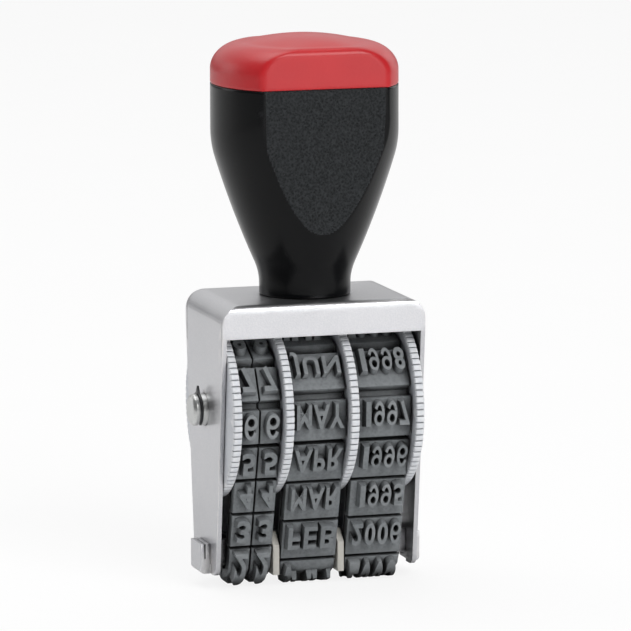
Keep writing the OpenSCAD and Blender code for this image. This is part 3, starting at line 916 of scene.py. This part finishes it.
def makeBand(node, name, words, shift, spec):
    # a loop of pads, one for each word, moved along by the shift
    s = loopShape
    low, high = (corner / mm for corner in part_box(node))
    width, middle = high.x - low.x, (high.x + low.x) / 2
    pitch = s["length"] / len(words)
    # backing strip: a closed ribbon one loop long, cut finely so that it wraps smoothly
    cuts, edge, side = s["backingCuts"], s["backingEdge"], width / 2
    flank = [(side, 0.0), (side, s["backing"] - edge), (side - edge, s["backing"])]
    section = [(-x, z) for x, z in flank] + flank[::-1]
    count = len(section)
    verts = [(x, s["length"] * i / cuts, z) for i in range(cuts) for x, z in section]
    faces = [(i * count + k, ((i + 1) % cuts) * count + k,
              ((i + 1) % cuts) * count + (k + 1) % count, i * count + (k + 1) % count)
             for i in range(cuts) for k in range(count)]
    belt = bpy.data.meshes.new(name)
    belt.from_pydata([tuple(c * mm for c in v) for v in verts], [], faces)
    piece = addPiece(name, belt)
    foot = s["backing"] - s["padSink"]
    pad = softBlock(name + "Pad", width, spec["padLength"], foot, s["padRise"], s["padEdge"], s["padCuts"])
    typeSet = bpy.data.collections.new(name + "Type")
    for i, word in enumerate(words):
        typeSet.objects.link(typeMesh(f"{name}Type{i:02d}", word, spec))
    belting = piece.modifiers.new("typeStrip", "NODES")
    belting.node_group = beltTree
    setInputs(belting, beltTree, {"Pad": pad, "Type": typeSet, "Places": len(words), "Pitch": pitch * mm,
                                  "Type Rise": s["padRise"] * mm, "Type Shift": spec["typeShift"] * mm,
                                  "Rubber": bandRubber})
    plainMesh(piece)
    bm = bmesh.new()
    bm.from_mesh(piece.data)
    stiff = bm.verts.layers.float["stiff"]
    for vert in bm.verts:
        x, along, out = vert.co / mm
        if vert[stiff] > 0.5:
            y, z = padPoint(along, out, pitch, shift, spec)
        else:
            y, z = loopPoint(along + shift, out)
        vert.co = Vector((x + middle, y, z)) * mm
    bm.verts.layers.float.remove(stiff)
    bmesh.ops.recalc_face_normals(bm, faces=bm.faces)
    bm.to_mesh(piece.data)
    bm.free()
    sharpenEdges(piece, s["crisp"])
    for spare in [pad, *typeSet.objects]:
        bpy.data.objects.remove(spare)
    bpy.data.collections.remove(typeSet)
    finishPiece(piece, stampBody, node)


dayType = dict(
    padLength=4.5, typeHeight=3.3, glyphWidth=1.8, glyphGap=0.0, typeShift=0.35, weight=0.03, flank=0.04,
    spacing=1.0, oneShift=0.0, stiffness=0.85)
wordType = dict(
    padLength=5.25, typeHeight=3.2, wordWidth=6.6, glyphWidth=1.42, glyphGap=0.36, typeShift=0.75,
    weight=0.024, flank=0.045, spacing=1.14, oneShift=0.3, stiffness=0.85)
dayPlaces = list("123456789012300")
months = "JAN FEB MAR APR MAY JUN JUL AUG SEP OCT NOV DEC JAN".split()
years = [str(year) for year in (2005, 2006, *range(1995, 2006))]
dayShift, wordShift = -1.35, 0.95  # how far the bands have been turned on past a whole place
makeBand("day_tens_band", "dayTensBand", dayPlaces, dayShift, dayType)
makeBand("day_units_band", "dayUnitsBand", dayPlaces, dayShift, dayType)
makeBand("month_band", "monthBand", months, wordShift, wordType)
makeBand("year_band", "yearBand", years, wordShift, wordType)
print("type bands done")

# floor, light and camera

studio = dict(
    floorHalf=8.0, floorDark=0.93, floorLight=0.95, floorGlow=0.85, mottleSize=30.0,
    worldFront=0.13, worldRear=0.26, worldBlend=0.7)
view = dict(azimuth=17.1, elevation=8.8, roll=-0.15, distance=721.4, target=(1.49, 0.0, 35.57), lens=308.2)
lamps = dict(  # place, aim and size in metres, power in watts
    topSoft=dict(place=(-0.12, 0.2, 0.8), aim=(0, 0, 0.03), size=(0.6, 0.6), power=2.9),
    keySoft=dict(place=(0.22, -0.62, 0.62), aim=(0, 0, 0.03), size=(0.45, 0.45), power=4.1),
    frontCard=dict(place=(0.28, -0.8, 0.1), aim=(0, 0, 0.03), size=(0.55, 0.3), power=1.25),
    rearSoft=dict(place=(0.0, 1.0, 0.75), aim=(0, 0, 0.3), size=(2.2, 1.1), power=4.2),
    leftRim=dict(place=(-1.1, 0.9, 0.3), aim=(0, 0, 0.05), size=(0.5, 0.9), power=2.0),
    rightRim=dict(place=(1.1, 0.9, 0.3), aim=(0, 0, 0.05), size=(0.4, 0.9), power=1.2))


def makeFloor():
    s = studio["floorHalf"]
    floor = bpy.data.meshes.new("floor")
    floor.from_pydata([(-s, -s, 0), (s, -s, 0), (s, s, 0), (-s, s, 0)], [], [(0, 1, 2, 3)])
    paper = bpy.data.materials.new("paleFloor")
    paper.use_nodes = True
    tree = paper.node_tree
    shader = tree.nodes["Principled BSDF"]
    place = addNode(tree, "ShaderNodeTexCoord").outputs["Object"]
    mottle = addNode(tree, "ShaderNodeTexNoise", {
        "Vector": place, "Scale": studio["mottleSize"], "Detail": 2.0})
    dark, light = ((studio[key],) * 3 for key in ("floorDark", "floorLight"))
    tone = rampNode(tree, mottle.outputs["Fac"], [(0.3, dark), (0.7, light)])
    tree.links.new(tone.outputs[0], shader.inputs["Base Color"])
    shader.inputs["Roughness"].default_value = 0.9
    shader.inputs["Specular IOR Level"].default_value = 0.1
    # to the camera the floor is mostly an even glow, which lights nothing else
    glow = addNode(tree, "ShaderNodeEmission", {"Strength": 1.0})
    fromCamera = addNode(tree, "ShaderNodeLightPath").outputs["Is Camera Ray"]
    seen = addNode(tree, "ShaderNodeMath", {0: fromCamera, 1: studio["floorGlow"]}, operation="MULTIPLY")
    mixed = addNode(tree, "ShaderNodeMixShader", {
        "Fac": seen.outputs[0], 1: shader.outputs[0], 2: glow.outputs[0]})
    tree.links.new(mixed.outputs[0], tree.nodes["Material Output"].inputs["Surface"])
    floor.materials.append(paper)
    addPiece("floor", floor)


def softLight(name, place, aim, size, power):
    lamp = bpy.data.lights.new(name, "AREA")
    lamp.shape = "RECTANGLE"
    lamp.size, lamp.size_y = size
    lamp.energy = power
    turn = (Vector(aim) - Vector(place)).to_track_quat("-Z", "Y").to_matrix().to_4x4()
    addPiece(name, lamp).matrix_world = Matrix.Translation(place) @ turn


def makeWorld():
    world = bpy.data.worlds.new("studio")
    world.use_nodes = True
    # the room is dimmer in front of the stamp than behind it
    tree = world.node_tree
    place = addNode(tree, "ShaderNodeTexCoord").outputs["Generated"]
    parts = addNode(tree, "ShaderNodeSeparateXYZ", {"Vector": place})
    depth = addNode(tree, "ShaderNodeMapRange", {
        "Value": parts.outputs["Y"], "From Min": -studio["worldBlend"], "From Max": studio["worldBlend"],
        "To Min": studio["worldFront"], "To Max": studio["worldRear"]})
    back = tree.nodes["Background"]
    back.inputs["Color"].default_value = (1.0, 1.0, 1.0, 1.0)
    tree.links.new(depth.outputs[0], back.inputs["Strength"])
    bpy.context.scene.world = world


def makeCamera():
    a, e = math.radians(view["azimuth"]), math.radians(view["elevation"])
    back = Vector((-math.sin(a) * math.cos(e), -math.cos(a) * math.cos(e), math.sin(e)))
    data = bpy.data.cameras.new("camera")
    data.lens, data.sensor_width = view["lens"], 36.0
    data.clip_start, data.clip_end = 0.01, 50.0
    roll = Matrix.Rotation(math.radians(view["roll"]), 4, "Z")
    turn = back.to_track_quat("Z", "Y").to_matrix().to_4x4() @ roll
    camera = addPiece("camera", data)
    camera.matrix_world = Matrix.Translation((Vector(view["target"]) + back * view["distance"]) * mm) @ turn
    bpy.context.scene.camera = camera


makeFloor()
makeWorld()
for name, lamp in lamps.items():
    softLight(name, **lamp)
makeCamera()
bpy.context.scene.view_settings.view_transform = "Standard"
print("studio done")
